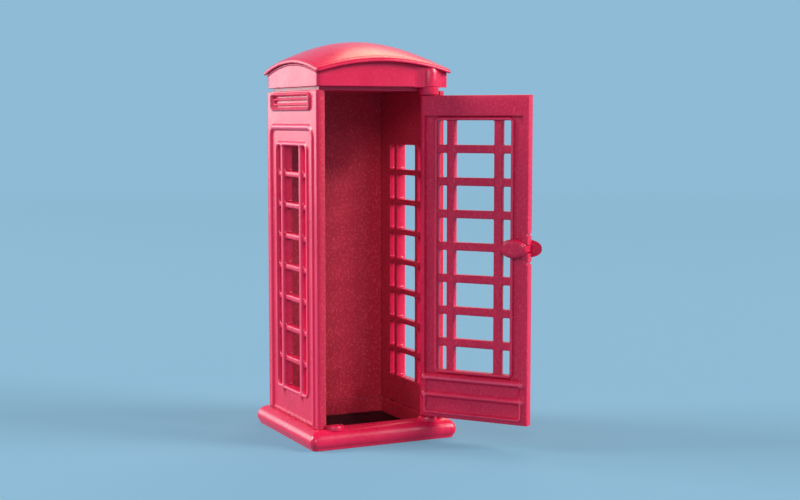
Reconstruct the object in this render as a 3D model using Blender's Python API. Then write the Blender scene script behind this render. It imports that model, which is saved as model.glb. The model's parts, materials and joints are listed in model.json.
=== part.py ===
"""Miniature red telephone booth with an opening door, as separate moulded pieces.

Metres, +Z up. The origin is on the ground at the centre of the four walls, the doorway faces -Y,
and +X is to the right of somebody looking at the doorway. The door is shown standing open.
"""
import math

import bmesh
import bpy
from mathutils import Vector

MM = 0.001

# walls: a square plan with thin moulded sides
BODY_WIDTH = 11.8 * MM
HALF = BODY_WIDTH / 2
WALL = 0.85 * MM
WALL_TOP = 30.0 * MM
GAP = 0.05 * MM                 # air kept between two pieces
PLINTH_TOP = 1.65 * MM
WALL_FOOT = PLINTH_TOP + GAP

# side windows, measured from the middle of the wall and from the ground
WINDOW_TOP = 25.3 * MM
WINDOW_BOTTOM = 4.2 * MM
WIDE_PANE = 3.6 * MM
NARROW_PANE = 0.86 * MM
UPRIGHT_BAR = 0.62 * MM
CROSS_BAR = 0.5 * MM
ROWS = 8
UPRIGHT_PAST = 0.5 * MM         # how far an upright runs below the window
FRAME_LAP = 0.1 * MM            # the window's frame overlaps the panes' margin by this much

# raised mouldings
MOULDING_HEIGHT = 0.15 * MM
UPRIGHT_HEIGHT = 0.22 * MM
SUNK = 0.2 * MM                 # how deep a moulding is rooted in its wall
OUTER_WIDTH = 0.6 * MM
OUTER_AT = 4.85 * MM
OUTER_TOP = 26.9 * MM
OUTER_RADIUS = 0.8 * MM
OUTER_FOOT = WALL_FOOT + 0.3 * MM
INNER_WIDTH = 0.46 * MM
INNER_AT = 3.55 * MM
INNER_MARGIN = 0.27 * MM
INNER_RADIUS = 0.6 * MM
BACK_OUTLINE_AT = 3.95 * MM
SIGN_WIDTH = 8.8 * MM
SIGN_LOW = 28.45 * MM
SIGN_HIGH = 29.7 * MM
SIGN_LINE = 0.3 * MM
SIGN_RADIUS = 0.25 * MM
STEP = 0.45 * MM                # width of the rebate in each front post
STEP_DEPTH = 0.35 * MM

# plinth
OVERHANG = 0.94 * MM
PLINTH_HALF = HALF + OVERHANG
NOSE_RADIUS = 0.7 * MM
PLINTH_CORNER = 0.3 * MM
PLINTH_CHAMFER = 0.12 * MM
NOSE_STEPS = 4
FLOOR_HALF = 4.9 * MM
FLOOR_TOP = 0.4 * MM
FLOOR_EDGE = 0.1 * MM

# hinge: pins in round bosses on the sill and under the roof, a little in front of the posts
HINGE_X = 4.3 * MM
HINGE_Y = -6.1 * MM
BOSS_X = 4.4 * MM
BOSS_RADIUS = 0.85 * MM
SILL_BOSS_Y = -5.6 * MM
ROOF_BOSS_Y = -5.9 * MM
BOSS_TOP = 1.95 * MM
PIN_RADIUS = 0.28 * MM
BORE_RADIUS = 0.34 * MM
PIN_IN_DOOR = 1.4 * MM
PIN_PROUD = 1.2 * MM
BORE_EXTRA = 0.15 * MM
OPEN_ANGLE = math.radians(127)

# door, described as if shut
DOOR_LOW = 2.05 * MM
DOOR_HIGH = 29.6 * MM
DOOR_WIDTH = 10.1 * MM
DOOR_TAIL = 0.75 * MM           # from the hinge axis to the hinge edge
DOOR_THICK = 0.9 * MM
DOOR_PANE_TOP = 27.5 * MM
DOOR_PANE_BOTTOM = 6.2 * MM
DOOR_BAR = 0.7 * MM
DOOR_UPRIGHT = 0.75 * MM
DOOR_NARROW = 0.78 * MM
DOOR_MOULDING_AT = 3.65 * MM
DOOR_MOULDING_HEIGHT = 0.12 * MM
RECESS_HALF = 3.95 * MM
RECESS = 0.2 * MM
RECESS_MARGIN = 0.4 * MM        # of the recess beyond the panes, above and below
DOOR_FRAME_RADIUS = 0.5 * MM
PANEL_LINES = (4.9 * MM, 3.9 * MM)

# handle, a flat paddle on each face joined through a notch in the door's free edge
HANDLE_Z = 16.9 * MM
HANDLE_LONG = 3.3 * MM
HANDLE_TALL = 1.6 * MM
HANDLE_PROUD = 0.32 * MM
HANDLE_PAST = 0.85 * MM         # how far it reaches past the free edge
NOTCH = 0.85 * MM
NOTCH_TALL = 0.7 * MM

# roof
ROOF_X = 5.95 * MM
ROOF_FRONT = -6.2 * MM
ROOF_BACK = 5.5 * MM
EAVE_X = 6.2 * MM
EAVE_FRONT = -6.7 * MM
EAVE_BACK = 5.95 * MM
SKIRT_LOW = 30.3 * MM
EAVE_LOW = 31.35 * MM
EAVE_THICK = 0.35 * MM
ARCH_RISE = 0.95 * MM
CROWN = 0.65 * MM
SEAT_LOW = WALL_TOP + GAP
SEAT_TOP = 31 * MM              # inside the cap
SEAT_INSET = 0.4 * MM
SEAT_BACK = 5.3 * MM
ROOF_BOSS_TOP = EAVE_LOW + 0.2 * MM

RED = (0.60, 0.012, 0.045, 1.0)
BLACK = (0.012, 0.012, 0.013, 1.0)


def clear_scene():
    for item in list(bpy.data.objects):
        bpy.data.objects.remove(item, do_unlink=True)


def make_material(name, colour, roughness):
    material = bpy.data.materials.new(name)
    material.use_nodes = True
    shader = material.node_tree.nodes["Principled BSDF"]
    shader.inputs["Base Color"].default_value = colour
    shader.inputs["Roughness"].default_value = roughness
    shader.inputs["Metallic"].default_value = 0.0
    return material


def to_object(name, bm):
    bmesh.ops.recalc_face_normals(bm, faces=bm.faces)
    mesh = bpy.data.meshes.new(name)
    bm.to_mesh(mesh)
    bm.free()
    item = bpy.data.objects.new(name, mesh)
    bpy.context.collection.objects.link(item)
    return item


def box(name, low, high):
    bm = bmesh.new()
    bmesh.ops.create_cube(bm, size=1)
    low, high = Vector(low), Vector(high)
    for vert in bm.verts:
        vert.co = [(low[i] + high[i]) / 2 + vert.co[i] * (high[i] - low[i]) for i in range(3)]
    return to_object(name, bm)


def cylinder(name, x, y, low, high, radius, segments=24):
    bm = bmesh.new()
    bmesh.ops.create_cone(bm, cap_ends=True, segments=segments, radius1=radius, radius2=radius,
                          depth=high - low)
    bmesh.ops.translate(bm, verts=bm.verts, vec=(x, y, (low + high) / 2))
    return to_object(name, bm)


def combine(target, tool, operation):
    """Union or difference with the exact solver; the tool is used up."""
    modifier = target.modifiers.new(operation.title(), "BOOLEAN")
    modifier.operation = operation
    modifier.solver = "EXACT"
    modifier.object = tool
    graph = bpy.context.evaluated_depsgraph_get()
    mesh = bpy.data.meshes.new_from_object(target.evaluated_get(graph))
    target.modifiers.clear()
    target.data = mesh
    bpy.data.objects.remove(tool, do_unlink=True)


def cut_boxes(target, boxes):
    """Cut a list of (low, high) boxes that do not touch each other."""
    bm = bmesh.new()
    for low, high in boxes:
        cube = bmesh.ops.create_cube(bm, size=1)
        for vert in cube["verts"]:
            vert.co = [(low[i] + high[i]) / 2 + vert.co[i] * (high[i] - low[i]) for i in range(3)]
    combine(target, to_object("cutter", bm), "DIFFERENCE")


def arc(centre_u, centre_z, radius, start, turn, steps=3):
    """Points along an arc in a wall's plane, angles in degrees."""
    angles = [math.radians(start + turn * i / steps) for i in range(steps + 1)]
    return [(centre_u + radius * math.cos(a), centre_z + radius * math.sin(a)) for a in angles]


def round_rectangle(half_u, low, high, radius):
    """Closed outline with rounded corners, symmetrical about the wall's middle."""
    side, top, foot = half_u - radius, high - radius, low + radius
    return (arc(side, top, radius, 0, 90) + arc(-side, top, radius, 90, 90)
            + arc(-side, foot, radius, 180, 90) + arc(side, foot, radius, 270, 90))


def moulding(name, path, closed, width, height, out=-1):
    """A low ridge with sloping sides, carried along a path (u, z) on the plane y = 0."""
    count = len(path)
    bm = bmesh.new()
    rings = []
    for i in range(count):
        here = Vector(path[i])
        before = Vector(path[i - 1]) if closed or i > 0 else here
        after = Vector(path[(i + 1) % count]) if closed or i < count - 1 else here
        into = (here - before).normalized() if here != before else (after - here).normalized()
        onto = (after - here).normalized() if after != here else into
        side_in = Vector((-into.y, into.x))
        side_out = Vector((-onto.y, onto.x))
        side = (side_in + side_out).normalized()
        side /= max(side.dot(side_in), 0.5)
        ring = []
        for share, level in ((-0.5, -SUNK), (-0.5, 0.4 * height), (-0.3, height),
                             (0.3, height), (0.5, 0.4 * height), (0.5, -SUNK)):
            spot = here + side * (share * width)
            ring.append(bm.verts.new((spot.x, out * level, spot.y)))
        rings.append(ring)
    pairs = count if closed else count - 1
    for i in range(pairs):
        ring, other = rings[i], rings[(i + 1) % count]
        for k in range(len(ring)):
            nxt = (k + 1) % len(ring)
            bm.faces.new((ring[k], ring[nxt], other[nxt], other[k]))
    if not closed:
        bm.faces.new(rings[0])
        bm.faces.new(rings[-1])
    return to_object(name, bm)


def row_edges(low, high, bar, count):
    """Lower and upper edge of each pane in a column of equal panes."""
    pane = (high - low - (count - 1) * bar) / count
    return [(low + i * (pane + bar), low + i * (pane + bar) + pane) for i in range(count)]


def pane_boxes(low, high, wide, upright, narrow, bar, near, far):
    """Three columns of panes: a wide one between two narrow ones."""
    start = wide / 2 + upright
    columns = [(-start - narrow, -start), (-wide / 2, wide / 2), (start, start + narrow)]
    return [((left, near, foot), (right, far, top))
            for left, right in columns
            for foot, top in row_edges(low, high, bar, ROWS)]


def outer_moulding(name, foot):
    """An upside-down U with rounded shoulders."""
    side, top = OUTER_AT - OUTER_RADIUS, OUTER_TOP - OUTER_RADIUS
    path = [(OUTER_AT, foot)]
    path += arc(side, top, OUTER_RADIUS, 0, 90)
    path += arc(-side, top, OUTER_RADIUS, 90, 90)
    path += [(-OUTER_AT, foot)]
    return moulding(name, path, False, OUTER_WIDTH, MOULDING_HEIGHT)


def sign_moulding(name):
    path = round_rectangle(SIGN_WIDTH / 2, SIGN_LOW, SIGN_HIGH, SIGN_RADIUS)
    return moulding(name, path, True, SIGN_LINE, MOULDING_HEIGHT)


def side_wall(name, front):
    """One glazed side in its own frame: outside faces -Y, `front` (+1 or -1) is the doorway end."""
    wall = box(name, (-HALF, 0, WALL_FOOT), (HALF, WALL, WALL_TOP))
    combine(wall, outer_moulding("outer", OUTER_FOOT), "UNION")
    combine(wall, sign_moulding("sign"), "UNION")
    margin = INNER_MARGIN - FRAME_LAP
    frame = round_rectangle(INNER_AT, WINDOW_BOTTOM - margin, WINDOW_TOP + margin, INNER_RADIUS)
    combine(wall, moulding("inner", frame, True, INNER_WIDTH, MOULDING_HEIGHT), "UNION")
    for side in (-1, 1):
        u = side * (WIDE_PANE + UPRIGHT_BAR) / 2
        path = [(u, WINDOW_BOTTOM - UPRIGHT_PAST), (u, WINDOW_TOP + INNER_MARGIN)]
        combine(wall, moulding("upright", path, False, UPRIGHT_BAR, UPRIGHT_HEIGHT), "UNION")
    cut_boxes(wall, pane_boxes(WINDOW_BOTTOM, WINDOW_TOP, WIDE_PANE, UPRIGHT_BAR, NARROW_PANE,
                               CROSS_BAR, -1 * MM, 2 * MM))
    edge = sorted((front * (HALF - STEP_DEPTH), front * (HALF + MM)))
    cut_boxes(wall, [((edge[0], STEP, 0), (edge[1], 2 * MM, WALL_TOP + MM))])
    return wall


def back_wall(name):
    """Blind back between the two sides, with the same outline mouldings."""
    half = HALF - WALL - GAP
    wall = box(name, (-half, 0, WALL_FOOT), (half, WALL, WALL_TOP))
    combine(wall, sign_moulding("sign"), "UNION")
    frame = round_rectangle(BACK_OUTLINE_AT, WINDOW_BOTTOM, WINDOW_TOP + INNER_MARGIN, INNER_RADIUS)
    combine(wall, moulding("inner", frame, True, INNER_WIDTH, MOULDING_HEIGHT), "UNION")
    return wall


def ring_points(half, radius, steps=4):
    """Corner-rounded square outline in plan."""
    inner = half - radius
    points = []
    for start, sx, sy in ((0, 1, 1), (90, -1, 1), (180, -1, -1), (270, 1, -1)):
        for i in range(steps + 1):
            a = math.radians(start + 90 * i / steps)
            points.append((sx * inner + radius * math.cos(a), sy * inner + radius * math.sin(a)))
    return points


def loft(name, levels, outline):
    """Stack outlines (one per level) and close both ends."""
    bm = bmesh.new()
    rings = [[bm.verts.new((x, y, z)) for x, y in outline(*shape)] for z, shape in levels]
    for lower, upper in zip(rings, rings[1:]):
        for k in range(len(lower)):
            nxt = (k + 1) % len(lower)
            bm.faces.new((lower[k], lower[nxt], upper[nxt], upper[k]))
    bm.faces.new(rings[0])
    bm.faces.new(rings[-1])
    return to_object(name, bm)


def base_plinth(name):
    """Square ring with a rounded nose and two round bosses on the sill."""
    levels = [(0, (PLINTH_HALF - PLINTH_CHAMFER, PLINTH_CORNER)),
              (PLINTH_CHAMFER, (PLINTH_HALF, PLINTH_CORNER))]
    for i in range(NOSE_STEPS + 1):
        a = math.radians(90 * i / NOSE_STEPS)
        z = PLINTH_TOP - NOSE_RADIUS + NOSE_RADIUS * math.sin(a)
        levels.append((z, (PLINTH_HALF - NOSE_RADIUS * (1 - math.cos(a)), PLINTH_CORNER)))
    plinth = loft(name, levels, ring_points)
    for side in (-1, 1):
        boss = cylinder("boss", side * BOSS_X, SILL_BOSS_Y, PLINTH_TOP - SUNK, BOSS_TOP, BOSS_RADIUS)
        combine(plinth, boss, "UNION")
    # the bosses stop at the doorway, where the posts and the floor begin
    post = HALF - WALL + GAP
    far = HALF + MM
    keep = BOSS_TOP + MM
    doorway = -HALF + STEP_DEPTH - GAP
    cuts = [((-far, doorway, PLINTH_TOP), (far, 0, keep))]
    for low_x, high_x in ((-far, -post), (post, far)):
        cuts.append(((low_x, -HALF - GAP, PLINTH_TOP), (high_x, doorway - GAP, keep)))
    cut_boxes(plinth, cuts)
    inside = FLOOR_HALF + GAP
    cut_boxes(plinth, [((-inside, -inside, -MM), (inside, inside, BOSS_TOP + MM))])
    bore_foot = DOOR_LOW - PIN_PROUD - BORE_EXTRA
    bore = cylinder("bore", HINGE_X, HINGE_Y, bore_foot, BOSS_TOP + MM, BORE_RADIUS)
    combine(plinth, bore, "DIFFERENCE")
    return plinth


def floor_plate(name):
    plate = box(name, (-FLOOR_HALF, -FLOOR_HALF, 0), (FLOOR_HALF, FLOOR_HALF, FLOOR_TOP))
    bevel = plate.modifiers.new("Edge", "BEVEL")
    bevel.width = FLOOR_EDGE
    bevel.segments = 2
    bevel.use_clamp_overlap = True
    return plate


def roof_height(u, v):
    """Top of the roof: an arch along each edge and a dome between them; u and v run from -1 to 1."""
    a, b = 1 - u * u, 1 - v * v
    return EAVE_LOW + EAVE_THICK + ARCH_RISE * (a + b) + CROWN * a * b


def roof_outline(x, front, back, steps):
    """Plan rectangle with `steps` points on each side, as (x, y, share along the side)."""
    shares = [-1 + 2 * i / steps for i in range(steps)]
    middle, reach = (front + back) / 2, (back - front) / 2
    points = [(t * x, front, t, -1) for t in shares]
    points += [(x, middle + t * reach, 1, t) for t in shares]
    points += [(-t * x, back, -t, 1) for t in shares]
    points += [(-x, middle - t * reach, -1, -t) for t in shares]
    return points


def roof(name, steps=12):
    """Domed cap over a skirt, with a flat seat on the walls and a round boss over the hinge."""
    bm = bmesh.new()
    skirt = roof_outline(ROOF_X, ROOF_FRONT, ROOF_BACK, steps)
    eave = roof_outline(EAVE_X, EAVE_FRONT, EAVE_BACK, steps)
    rings = [[bm.verts.new((x, y, SKIRT_LOW)) for x, y, u, v in skirt]]
    for outline, drop in ((skirt, EAVE_THICK), (eave, EAVE_THICK * 0.8), (eave, 0.0)):
        rings.append([bm.verts.new((x, y, roof_height(u, v) - drop)) for x, y, u, v in outline])
    for lower, upper in zip(rings, rings[1:]):
        for k in range(len(lower)):
            nxt = (k + 1) % len(lower)
            bm.faces.new((lower[k], lower[nxt], upper[nxt], upper[k]))
    bm.faces.new(rings[0])
    edge = {(round(vert.co.x, 7), round(vert.co.y, 7)): vert for vert in rings[-1]}
    middle, reach = (EAVE_FRONT + EAVE_BACK) / 2, (EAVE_BACK - EAVE_FRONT) / 2
    grid = []
    for j in range(steps + 1):
        row = []
        for i in range(steps + 1):
            u, v = -1 + 2 * i / steps, -1 + 2 * j / steps
            x, y = u * EAVE_X, middle + v * reach
            vert = edge.get((round(x, 7), round(y, 7)))
            row.append(vert or bm.verts.new((x, y, roof_height(u, v))))
        grid.append(row)
    for j in range(steps):
        for i in range(steps):
            bm.faces.new((grid[j][i], grid[j][i + 1], grid[j + 1][i + 1], grid[j + 1][i]))
    cap = to_object(name, bm)
    seat_half = HALF - SEAT_INSET
    seat = box("seat", (-seat_half, -seat_half, SEAT_LOW), (seat_half, SEAT_BACK, SEAT_TOP))
    combine(cap, seat, "UNION")
    boss = cylinder("boss", BOSS_X, ROOF_BOSS_Y, DOOR_HIGH + GAP, ROOF_BOSS_TOP, BOSS_RADIUS)
    combine(cap, boss, "UNION")
    post = HALF - WALL
    low = DOOR_HIGH - MM
    cut_boxes(cap, [((side_low, -HALF - GAP, low), (side_high, -HALF + MM, WALL_TOP + GAP))
                    for side_low, side_high in ((-HALF - MM, -post + GAP), (post - GAP, HALF + MM))])
    bore_top = DOOR_HIGH + PIN_PROUD + BORE_EXTRA
    bore = cylinder("bore", HINGE_X, HINGE_Y, DOOR_HIGH - MM, bore_top, BORE_RADIUS)
    combine(cap, bore, "DIFFERENCE")
    return cap


def door(name):
    """The door shut, with its origin on the hinge axis: outside faces -Y, hinge edge at +X."""
    half_thick = DOOR_THICK / 2
    free = DOOR_TAIL - DOOR_WIDTH
    middle = DOOR_TAIL - DOOR_WIDTH / 2
    round_at = DOOR_TAIL - half_thick
    leaf = box(name, (free, -half_thick, DOOR_LOW), (round_at, half_thick, DOOR_HIGH))
    combine(leaf, cylinder("edge", round_at, 0, DOOR_LOW, DOOR_HIGH, half_thick, 32), "UNION")
    recess = [((middle - RECESS_HALF, half_thick - RECESS, DOOR_PANE_BOTTOM - RECESS_MARGIN),
               (middle + RECESS_HALF, half_thick + MM, DOOR_PANE_TOP + RECESS_MARGIN))]
    cut_boxes(leaf, recess)
    frame = round_rectangle(DOOR_MOULDING_AT, DOOR_PANE_BOTTOM - INNER_MARGIN, DOOR_PANE_TOP + INNER_MARGIN,
                            DOOR_FRAME_RADIUS)
    line = moulding("frame", frame, True, INNER_WIDTH, DOOR_MOULDING_HEIGHT)
    line.location = (middle, -half_thick, 0)
    combine(leaf, line, "UNION")
    for low in PANEL_LINES:
        path = [(-RECESS_HALF, low), (RECESS_HALF, low)]
        line = moulding("rail", path, False, SIGN_LINE, MOULDING_HEIGHT, out=1)
        line.location = (middle, half_thick, 0)
        combine(leaf, line, "UNION")
    panes = pane_boxes(DOOR_PANE_BOTTOM, DOOR_PANE_TOP, WIDE_PANE, DOOR_UPRIGHT, DOOR_NARROW, DOOR_BAR,
                       -2 * MM, 2 * MM)
    cut_boxes(leaf, [((low[0] + middle, low[1], low[2]), (high[0] + middle, high[1], high[2]))
                     for low, high in panes])
    half_notch = NOTCH_TALL / 2
    cut_boxes(leaf, [((free - MM, -MM, HANDLE_Z - half_notch), (free + NOTCH, MM, HANDLE_Z + half_notch))])
    around = HANDLE_TALL / 2 + 2 * GAP
    cut_boxes(leaf, [((free - MM, -MM, HANDLE_Z - around),
                      (free - HANDLE_PAST + HANDLE_LONG + GAP, -half_thick, HANDLE_Z + around))])
    depth = PIN_IN_DOOR + BORE_EXTRA
    for low, high in ((DOOR_LOW - MM, DOOR_LOW + depth), (DOOR_HIGH - depth, DOOR_HIGH + MM)):
        combine(leaf, cylinder("bore", 0, 0, low, high, BORE_RADIUS), "DIFFERENCE")
    return leaf


def paddle(name, left, right, tall, low, high, steps=6):
    """Flat plate with rounded ends, lying in the door's plane from y = low to y = high."""
    radius = tall / 2
    outline = [(right - radius + radius * math.cos(a), radius * math.sin(a))
               for a in (math.radians(-90 + 180 * i / steps) for i in range(steps + 1))]
    outline += [(left + radius + radius * math.cos(a), radius * math.sin(a))
                for a in (math.radians(90 + 180 * i / steps) for i in range(steps + 1))]
    bm = bmesh.new()
    near = [bm.verts.new((x, low, HANDLE_Z + z)) for x, z in outline]
    far = [bm.verts.new((x, high, HANDLE_Z + z)) for x, z in outline]
    for k in range(len(near)):
        nxt = (k + 1) % len(near)
        bm.faces.new((near[k], near[nxt], far[nxt], far[k]))
    bm.faces.new(near)
    bm.faces.new(far)
    return to_object(name, bm)


def door_handle(name):
    """Paddle on both faces, joined through the notch; the inner one stops at the free edge."""
    half_thick = DOOR_THICK / 2
    free = DOOR_TAIL - DOOR_WIDTH
    left, right = free - HANDLE_PAST, free - HANDLE_PAST + HANDLE_LONG
    grip = paddle(name, left, right, HANDLE_TALL, -half_thick - GAP - HANDLE_PROUD, -half_thick - GAP)
    face = half_thick + GAP
    inner = paddle("inner", free + 2 * GAP, right, HANDLE_TALL, face, face + HANDLE_PROUD)
    combine(grip, inner, "UNION")
    half_neck = NOTCH_TALL / 2 - GAP
    neck = box("neck", (free + 2 * GAP, -half_thick - GAP - HANDLE_PROUD / 2, HANDLE_Z - half_neck),
               (free + NOTCH - GAP, half_thick + GAP + HANDLE_PROUD / 2, HANDLE_Z + half_neck))
    combine(grip, neck, "UNION")
    return grip


def hinge_pin(name, in_door, proud):
    """Round pin on the hinge axis from inside the door to inside its boss."""
    low, high = sorted((in_door, proud))
    return cylinder(name, 0, 0, low, high, PIN_RADIUS, 20)


def finish(item, material, angle=40):
    item.data.materials.clear()
    item.data.materials.append(material)
    item.data.shade_smooth()
    item.data.set_sharp_from_angle(angle=math.radians(angle))


def place(item, location, turn):
    item.location = location
    item.rotation_euler = (0, 0, math.radians(turn))


def build():
    clear_scene()
    fixed = [base_plinth("base_plinth"), floor_plate("floor_plate"), roof("roof")]
    left = side_wall("left_wall", 1)
    place(left, (-HALF, 0, 0), -90)
    right = side_wall("right_wall", -1)
    place(right, (HALF, 0, 0), 90)
    back = back_wall("back_wall")
    place(back, (0, HALF, 0), 180)
    fixed += [left, right, back]

    axis = bpy.data.objects.new("hinge_axis", None)
    bpy.context.collection.objects.link(axis)
    axis.location = (HINGE_X, HINGE_Y, 0)
    axis.rotation_euler = (0, 0, OPEN_ANGLE)
    moving = [door("door"), door_handle("door_handle"),
              hinge_pin("lower_hinge_pin", DOOR_LOW + PIN_IN_DOOR, DOOR_LOW - PIN_PROUD),
              hinge_pin("upper_hinge_pin", DOOR_HIGH - PIN_IN_DOOR, DOOR_HIGH + PIN_PROUD)]
    for item in moving:
        item.parent = axis
    for item in fixed + moving:
        colour, roughness = (BLACK, 0.5) if item.name == "floor_plate" else (RED, 0.35)
        finish(item, make_material(item.name, colour, roughness))


build()
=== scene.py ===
import json
import math

import bmesh
import bpy
import numpy as np
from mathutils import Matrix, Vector

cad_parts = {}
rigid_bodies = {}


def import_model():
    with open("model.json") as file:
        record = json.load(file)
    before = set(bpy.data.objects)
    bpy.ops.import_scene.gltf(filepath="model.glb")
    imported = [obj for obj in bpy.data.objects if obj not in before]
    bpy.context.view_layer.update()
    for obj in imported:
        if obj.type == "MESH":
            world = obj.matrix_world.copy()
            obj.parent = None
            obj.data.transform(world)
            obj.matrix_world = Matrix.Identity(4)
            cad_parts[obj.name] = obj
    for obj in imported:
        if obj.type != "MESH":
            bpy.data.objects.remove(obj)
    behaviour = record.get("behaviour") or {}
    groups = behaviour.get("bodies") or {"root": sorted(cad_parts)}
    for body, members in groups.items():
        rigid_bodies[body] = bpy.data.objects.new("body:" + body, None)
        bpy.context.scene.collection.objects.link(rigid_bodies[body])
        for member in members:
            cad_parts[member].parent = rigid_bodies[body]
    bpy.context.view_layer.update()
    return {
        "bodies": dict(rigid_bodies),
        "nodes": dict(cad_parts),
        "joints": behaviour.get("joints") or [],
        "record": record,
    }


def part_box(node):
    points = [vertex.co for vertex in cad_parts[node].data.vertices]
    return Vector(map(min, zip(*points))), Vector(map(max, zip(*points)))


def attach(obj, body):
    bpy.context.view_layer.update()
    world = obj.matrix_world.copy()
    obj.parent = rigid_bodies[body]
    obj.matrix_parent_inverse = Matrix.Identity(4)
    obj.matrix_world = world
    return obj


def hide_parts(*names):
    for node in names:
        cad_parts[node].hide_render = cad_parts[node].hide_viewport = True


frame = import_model()
mm = 0.001               # every size below is in millimetres

# the hinge, and how far the door stands open at rest
doorHinge = frame["joints"][0]
hingeX, hingeY = [value / mm for value in doorHinge["pos_m"][:2]]
openAngle = -doorHinge["range_deg"][0]


def cadBoxOf(node):
    # lowest and highest corner of a node at rest, in millimetres
    low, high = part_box(node)
    return np.array(low) / mm, np.array(high) / mm


# helpers for surfaces on grids: u runs along a panel and z up it, in millimetres

def placed(points, degrees, x, y):
    # a turn about the vertical, then a move: x' = x cos - y sin, y' = x sin + y cos
    c, s = math.cos(math.radians(degrees)), math.sin(math.radians(degrees))
    out = points.copy()
    out[:, 0] = points[:, 0] * c - points[:, 1] * s + x
    out[:, 1] = points[:, 0] * s + points[:, 1] * c + y
    return out


edgeRoom, detailRoom = 0.018, 0.014     # least space from a detail line to an edge, and to another
softRidge = 2.4                         # power that gives a raised line its round top


def gridLines(edges, details, longest):
    # edges are kept exactly, details where there is room, and long gaps are divided evenly
    edges = np.unique(np.round(edges, 5))
    details = np.unique(np.round(details, 5))
    details = details[(details > edges[0]) & (details < edges[-1])]
    details = details[np.abs(details[:, None] - edges[None, :]).min(1) > edgeRoom]
    room = np.concatenate(([True], np.diff(details) > detailRoom))
    lines = np.sort(np.concatenate((edges, details[room])))
    parts = np.maximum(1, np.ceil(np.diff(lines) / longest)).astype(int)
    runs = [np.linspace(a, b, n, endpoint=False) for a, b, n in zip(lines[:-1], lines[1:], parts)]
    return np.concatenate(runs + [lines[-1:]])


def roundRectangle(u, z, halfU, low, high, radius, middle=0.0):
    # signed distance to a rectangle with rounded corners, negative inside
    du = np.abs(u - middle) - halfU + radius
    dz = np.abs(z - (low + high) / 2) - (high - low) / 2 + radius
    outside = np.hypot(np.maximum(du, 0), np.maximum(dz, 0))
    return outside + np.minimum(np.maximum(du, dz), 0) - radius


def upright(u, z, at, low, high):
    # distance to an upright line with round ends
    return np.hypot(u - at, z - np.clip(z, low, high))


def levelBar(u, z, at, left, right):
    # distance to a level line with round ends
    return np.hypot(u - np.clip(u, left, right), z - at)


def ridge(distance, halfWidth, height, power=2):
    # height times one minus the share across to the given power
    share = np.clip(np.abs(distance) / halfWidth, 0, 1)
    return height * (1 - share ** power)


def quarterRound(distance, radius):
    # how far a round edge falls away: radius - sqrt(radius^2 - (radius - distance)^2)
    short = radius - np.clip(distance, 0, radius)
    return radius - np.sqrt(np.maximum(radius ** 2 - short ** 2, 0))


def smoothStep(value, low, high):
    share = np.clip((value - low) / (high - low), 0, 1)
    return share * share * (3 - 2 * share)


def ridgeMarks(at, halfWidth):
    # lines along a ridge, closer together where its side is steep
    return [at + halfWidth * share for share in (-1, -0.8, -0.5, 0, 0.5, 0.8, 1)]


def cornerMarks(at, before, after, step):
    # evenly spaced lines through a round corner
    return np.arange(at - before, at + after, step)


def edgeMarks(edges, radius, inward):
    # lines beside each pane edge, for its round edge (outward) and its round corner (inward)
    marks = []
    for edge, side in edges:
        marks += [edge + side * inward * 0.5, edge + side * inward]
        marks += [edge - side * radius * share for share in (0.25, 0.6, 1)]
    return marks


def roundHole(u, z, uLines, zLines, hole):
    # the edge nodes within a radius of each corner move on to a quarter circle
    left, right, low, high, radius = hole
    slack = 1e-5
    for uCorner, inU in ((left, 1), (right, -1)):
        for zCorner, inZ in ((low, 1), (high, -1)):
            column = np.argmin(np.abs(uLines - uCorner))
            row = np.argmin(np.abs(zLines - zCorner))
            alongU = (uLines - uCorner) * inU
            alongZ = (zLines - zCorner) * inZ
            nearU = (alongU > -slack) & (alongU < radius + slack)
            nearZ = (alongZ > slack) & (alongZ < radius + slack)
            turn = math.pi / 4 * (1 + alongU[nearU] / radius)
            u[nearU, row] = uCorner + inU * radius * (1 - np.cos(turn))
            z[nearU, row] = zCorner + inZ * radius * (1 - np.sin(turn))
            turn = math.pi / 4 * (1 - alongZ[nearZ] / radius)
            u[column, nearZ] = uCorner + inU * radius * (1 - np.cos(turn))
            z[column, nearZ] = zCorner + inZ * radius * (1 - np.sin(turn))


def plate(uLines, zLines, holes, faces):
    # outside y = -front(u, z), inside y = back(u, z) on one grid; the cells in a hole are left out,
    # and each grid edge that has a face on one side only is joined from front to back
    u, z = np.meshgrid(uLines, zLines, indexing="ij")
    uMiddle, zMiddle = (uLines[1:] + uLines[:-1]) / 2, (zLines[1:] + zLines[:-1]) / 2
    kept = np.ones((len(uMiddle), len(zMiddle)), bool)
    for hole in holes:
        left, right, low, high, radius = hole
        across = (uMiddle > left) & (uMiddle < right)
        up = (zMiddle > low) & (zMiddle < high)
        kept[np.ix_(across, up)] = False
        if radius > 0:
            roundHole(u, z, uLines, zLines, hole)
    front, back, frontPaintedLight, backPaintedLight = faces(u, z)
    count = u.size
    index = np.arange(count).reshape(u.shape)
    near = np.stack([index[:-1, :-1][kept], index[1:, :-1][kept],
                     index[1:, 1:][kept], index[:-1, 1:][kept]], 1)
    edges = np.concatenate([near[:, [k, (k + 1) % 4]] for k in range(4)])
    single = ~np.isin(edges[:, 0] * count + edges[:, 1], edges[:, 1] * count + edges[:, 0])
    rim = edges[single]
    sides = np.stack([rim[:, 1], rim[:, 0], rim[:, 0] + count, rim[:, 1] + count], 1)
    quads = np.concatenate([near, near[:, ::-1] + count, sides])
    points = np.concatenate([np.stack([u.ravel(), -front.ravel(), z.ravel()], 1),
                             np.stack([u.ravel(), back.ravel(), z.ravel()], 1)])
    paintedLight = np.concatenate([frontPaintedLight.ravel(), backPaintedLight.ravel()])
    used, renumbered = np.unique(quads, return_inverse=True)
    return points[used], renumbered.reshape(quads.shape), paintedLight[used]


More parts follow.
